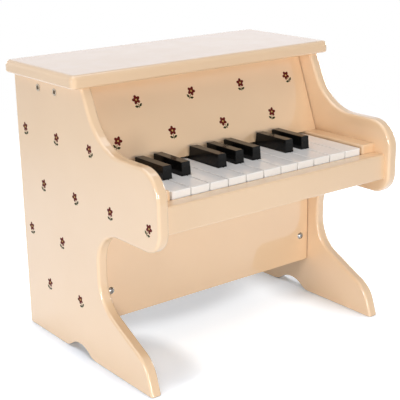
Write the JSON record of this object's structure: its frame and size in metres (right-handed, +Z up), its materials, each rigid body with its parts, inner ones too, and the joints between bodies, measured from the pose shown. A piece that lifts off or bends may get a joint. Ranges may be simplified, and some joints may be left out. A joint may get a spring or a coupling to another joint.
{
  "type": "toy piano",
  "caption": "Upright wooden toy piano: a lacquered case with shaped sides, keys that tip on a rod and throw hammers at tuned steel chime rods.",
  "frame": {"origin": "on the floor, at the middle of the width and of the depth", "axes": "+X along the keyboard to the treble, +Y to the back, +Z up"},
  "size_m": [0.3274, 0.2496, 0.2918],
  "materials": {
    "lacquer": "cream beige gloss lacquer",
    "plain_wood": "bare sanded wood",
    "white_key": "white gloss lacquer",
    "black_key": "black gloss lacquer",
    "felt": "pressed felt",
    "action_plastic": "moulded",
    "steel": "drawn",
    "tone_metal": "as cast",
    "bright_metal": "plated",
    "bolt_metal": "plated"
  },
  "bodies": {
    "case": {"left_side_panel": "lacquer", "right_side_panel": "lacquer", "top_lid": "lacquer", "fallboard": "lacquer", "knee_panel": "lacquer", "key_slip": "lacquer", "left_key_block": "lacquer", "right_key_block": "lacquer", "back_panel": "lacquer", "key_bed": "plain_wood", "top_stretcher": "plain_wood", "corner_battens": "plain_wood", "back_rail": "plain_wood", "dowels": "plain_wood", "front_stop_felt": "felt", "back_rest_felt": "felt", "hammer_rail": "action_plastic", "key_pivot_rod": "steel", "hammer_pivot_rod": "steel", "chime_rods": "steel", "tone_bar": "tone_metal", "panel_screws": "bright_metal", "stretcher_bolts": "bolt_metal"},
    "white_key_01": {"white_key_01": "white_key"},
    "hammer_01": {"hammer_01": "action_plastic"},
    "black_key_01": {"black_key_01": "black_key"},
    "hammer_02": {"hammer_02": "action_plastic"},
    "white_key_02": {"white_key_02": "white_key"},
    "hammer_03": {"hammer_03": "action_plastic"},
    "black_key_02": {"black_key_02": "black_key"},
    "hammer_04": {"hammer_04": "action_plastic"},
    "white_key_03": {"white_key_03": "white_key"},
    "hammer_05": {"hammer_05": "action_plastic"},
    "white_key_04": {"white_key_04": "white_key"},
    "hammer_06": {"hammer_06": "action_plastic"},
    "black_key_03": {"black_key_03": "black_key"},
    "hammer_07": {"hammer_07": "action_plastic"},
    "white_key_05": {"white_key_05": "white_key"},
    "hammer_08": {"hammer_08": "action_plastic"},
    "black_key_04": {"black_key_04": "black_key"},
    "hammer_09": {"hammer_09": "action_plastic"},
    "white_key_06": {"white_key_06": "white_key"},
    "hammer_10": {"hammer_10": "action_plastic"},
    "black_key_05": {"black_key_05": "black_key"},
    "hammer_11": {"hammer_11": "action_plastic"},
    "white_key_07": {"white_key_07": "white_key"},
    "hammer_12": {"hammer_12": "action_plastic"},
    "white_key_08": {"white_key_08": "white_key"},
    "hammer_13": {"hammer_13": "action_plastic"},
    "black_key_06": {"black_key_06": "black_key"},
    "hammer_14": {"hammer_14": "action_plastic"},
    "white_key_09": {"white_key_09": "white_key"},
    "hammer_15": {"hammer_15": "action_plastic"},
    "black_key_07": {"black_key_07": "black_key"},
    "hammer_16": {"hammer_16": "action_plastic"},
    "white_key_10": {"white_key_10": "white_key"},
    "hammer_17": {"hammer_17": "action_plastic"},
    "white_key_11": {"white_key_11": "white_key"},
    "hammer_18": {"hammer_18": "action_plastic"}
  },
  "joints": [
    {"name": "white_key_01_press", "type": "hinge", "parent": "case", "child": "white_key_01", "pos_m": [-0.1129, -0.0335, 0.1877], "axis": [1, 0, 0], "range_deg": [0, 3.6]},
    {"name": "hammer_01_swing", "type": "hinge", "parent": "case", "child": "hammer_01", "pos_m": [-0.1129, 0.0755, 0.2007], "axis": [1, 0, 0], "range_deg": [-24.05, 0]},
    {"name": "black_key_01_press", "type": "hinge", "parent": "case", "child": "black_key_01", "pos_m": [-0.099, -0.0335, 0.1877], "axis": [1, 0, 0], "range_deg": [0, 3.6]},
    {"name": "hammer_02_swing", "type": "hinge", "parent": "case", "child": "hammer_02", "pos_m": [-0.099, 0.0755, 0.2007], "axis": [1, 0, 0], "range_deg": [-24.05, 0]},
    {"name": "white_key_02_press", "type": "hinge", "parent": "case", "child": "white_key_02", "pos_m": [-0.088, -0.0335, 0.1877], "axis": [1, 0, 0], "range_deg": [0, 3.6]},
    {"name": "hammer_03_swing", "type": "hinge", "parent": "case", "child": "hammer_03", "pos_m": [-0.088, 0.0755, 0.2007], "axis": [1, 0, 0], "range_deg": [-24.05, 0]},
    {"name": "black_key_02_press", "type": "hinge", "parent": "case", "child": "black_key_02", "pos_m": [-0.077, -0.0335, 0.1877], "axis": [1, 0, 0], "range_deg": [0, 3.6]},
    {"name": "hammer_04_swing", "type": "hinge", "parent": "case", "child": "hammer_04", "pos_m": [-0.077, 0.0755, 0.2007], "axis": [1, 0, 0], "range_deg": [-24.05, 0]},
    {"name": "white_key_03_press", "type": "hinge", "parent": "case", "child": "white_key_03", "pos_m": [-0.0631, -0.0335, 0.1877], "axis": [1, 0, 0], "range_deg": [0, 3.6]},
    {"name": "hammer_05_swing", "type": "hinge", "parent": "case", "child": "hammer_05", "pos_m": [-0.0631, 0.0755, 0.2007], "axis": [1, 0, 0], "range_deg": [-24.05, 0]},
    {"name": "white_key_04_press", "type": "hinge", "parent": "case", "child": "white_key_04", "pos_m": [-0.0469, -0.0335, 0.1877], "axis": [1, 0, 0], "range_deg": [0, 3.6]},
    {"name": "hammer_06_swing", "type": "hinge", "parent": "case", "child": "hammer_06", "pos_m": [-0.0469, 0.0755, 0.2007], "axis": [1, 0, 0], "range_deg": [-24.05, 0]},
    {"name": "black_key_03_press", "type": "hinge", "parent": "case", "child": "black_key_03", "pos_m": [-0.033, -0.0335, 0.1877], "axis": [1, 0, 0], "range_deg": [0, 3.6]},
    {"name": "hammer_07_swing", "type": "hinge", "parent": "case", "child": "hammer_07", "pos_m": [-0.033, 0.0755, 0.2007], "axis": [1, 0, 0], "range_deg": [-24.05, 0]},
    {"name": "white_key_05_press", "type": "hinge", "parent": "case", "child": "white_key_05", "pos_m": [-0.022, -0.0335, 0.1877], "axis": [1, 0, 0], "range_deg": [0, 3.6]},
    {"name": "hammer_08_swing", "type": "hinge", "parent": "case", "child": "hammer_08", "pos_m": [-0.022, 0.0755, 0.2007], "axis": [1, 0, 0], "range_deg": [-24.05, 0]},
    {"name": "black_key_04_press", "type": "hinge", "parent": "case", "child": "black_key_04", "pos_m": [-0.011, -0.0335, 0.1877], "axis": [1, 0, 0], "range_deg": [0, 3.6]},
    {"name": "hammer_09_swing", "type": "hinge", "parent": "case", "child": "hammer_09", "pos_m": [-0.011, 0.0755, 0.2007], "axis": [1, 0, 0], "range_deg": [-24.05, 0]},
    {"name": "white_key_06_press", "type": "hinge", "parent": "case", "child": "white_key_06", "pos_m": [0, -0.0335, 0.1877], "axis": [1, 0, 0], "range_deg": [0, 3.6]},
    {"name": "hammer_10_swing", "type": "hinge", "parent": "case", "child": "hammer_10", "pos_m": [0, 0.0755, 0.2007], "axis": [1, 0, 0], "range_deg": [-24.05, 0]},
    {"name": "black_key_05_press", "type": "hinge", "parent": "case", "child": "black_key_05", "pos_m": [0.011, -0.0335, 0.1877], "axis": [1, 0, 0], "range_deg": [0, 3.6]},
    {"name": "hammer_11_swing", "type": "hinge", "parent": "case", "child": "hammer_11", "pos_m": [0.011, 0.0755, 0.2007], "axis": [1, 0, 0], "range_deg": [-24.05, 0]},
    {"name": "white_key_07_press", "type": "hinge", "parent": "case", "child": "white_key_07", "pos_m": [0.0249, -0.0335, 0.1877], "axis": [1, 0, 0], "range_deg": [0, 3.6]},
    {"name": "hammer_12_swing", "type": "hinge", "parent": "case", "child": "hammer_12", "pos_m": [0.0249, 0.0755, 0.2007], "axis": [1, 0, 0], "range_deg": [-24.05, 0]},
    {"name": "white_key_08_press", "type": "hinge", "parent": "case", "child": "white_key_08", "pos_m": [0.0411, -0.0335, 0.1877], "axis": [1, 0, 0], "range_deg": [0, 3.6]},
    {"name": "hammer_13_swing", "type": "hinge", "parent": "case", "child": "hammer_13", "pos_m": [0.0411, 0.0755, 0.2007], "axis": [1, 0, 0], "range_deg": [-24.05, 0]},
    {"name": "black_key_06_press", "type": "hinge", "parent": "case", "child": "black_key_06", "pos_m": [0.055, -0.0335, 0.1877], "axis": [1, 0, 0], "range_deg": [0, 3.6]},
    {"name": "hammer_14_swing", "type": "hinge", "parent": "case", "child": "hammer_14", "pos_m": [0.055, 0.0755, 0.2007], "axis": [1, 0, 0], "range_deg": [-24.05, 0]},
    {"name": "white_key_09_press", "type": "hinge", "parent": "case", "child": "white_key_09", "pos_m": [0.066, -0.0335, 0.1877], "axis": [1, 0, 0], "range_deg": [0, 3.6]},
    {"name": "hammer_15_swing", "type": "hinge", "parent": "case", "child": "hammer_15", "pos_m": [0.066, 0.0755, 0.2007], "axis": [1, 0, 0], "range_deg": [-24.05, 0]},
    {"name": "black_key_07_press", "type": "hinge", "parent": "case", "child": "black_key_07", "pos_m": [0.077, -0.0335, 0.1877], "axis": [1, 0, 0], "range_deg": [0, 3.6]},
    {"name": "hammer_16_swing", "type": "hinge", "parent": "case", "child": "hammer_16", "pos_m": [0.077, 0.0755, 0.2007], "axis": [1, 0, 0], "range_deg": [-24.05, 0]},
    {"name": "white_key_10_press", "type": "hinge", "parent": "case", "child": "white_key_10", "pos_m": [0.0909, -0.0335, 0.1877], "axis": [1, 0, 0], "range_deg": [0, 3.6]},
    {"name": "hammer_17_swing", "type": "hinge", "parent": "case", "child": "hammer_17", "pos_m": [0.0909, 0.0755, 0.2007], "axis": [1, 0, 0], "range_deg": [-24.05, 0]},
    {"name": "white_key_11_press", "type": "hinge", "parent": "case", "child": "white_key_11", "pos_m": [0.11, -0.0335, 0.1877], "axis": [1, 0, 0], "range_deg": [0, 3.6]},
    {"name": "hammer_18_swing", "type": "hinge", "parent": "case", "child": "hammer_18", "pos_m": [0.11, 0.0755, 0.2007], "axis": [1, 0, 0], "range_deg": [-24.05, 0]}
  ],
  "couplings": [
    {"joint": "hammer_01_swing", "follows": "white_key_01_press", "ratio": -6.6667},
    {"joint": "hammer_02_swing", "follows": "black_key_01_press", "ratio": -6.6667},
    {"joint": "hammer_03_swing", "follows": "white_key_02_press", "ratio": -6.6667},
    {"joint": "hammer_04_swing", "follows": "black_key_02_press", "ratio": -6.6667},
    {"joint": "hammer_05_swing", "follows": "white_key_03_press", "ratio": -6.6667},
    {"joint": "hammer_06_swing", "follows": "white_key_04_press", "ratio": -6.6667},
    {"joint": "hammer_07_swing", "follows": "black_key_03_press", "ratio": -6.6667},
    {"joint": "hammer_08_swing", "follows": "white_key_05_press", "ratio": -6.6667},
    {"joint": "hammer_09_swing", "follows": "black_key_04_press", "ratio": -6.6667},
    {"joint": "hammer_10_swing", "follows": "white_key_06_press", "ratio": -6.6667},
    {"joint": "hammer_11_swing", "follows": "black_key_05_press", "ratio": -6.6667},
    {"joint": "hammer_12_swing", "follows": "white_key_07_press", "ratio": -6.6667},
    {"joint": "hammer_13_swing", "follows": "white_key_08_press", "ratio": -6.6667},
    {"joint": "hammer_14_swing", "follows": "black_key_06_press", "ratio": -6.6667},
    {"joint": "hammer_15_swing", "follows": "white_key_09_press", "ratio": -6.6667},
    {"joint": "hammer_16_swing", "follows": "black_key_07_press", "ratio": -6.6667},
    {"joint": "hammer_17_swing", "follows": "white_key_10_press", "ratio": -6.6667},
    {"joint": "hammer_18_swing", "follows": "white_key_11_press", "ratio": -6.6667}
  ]
}
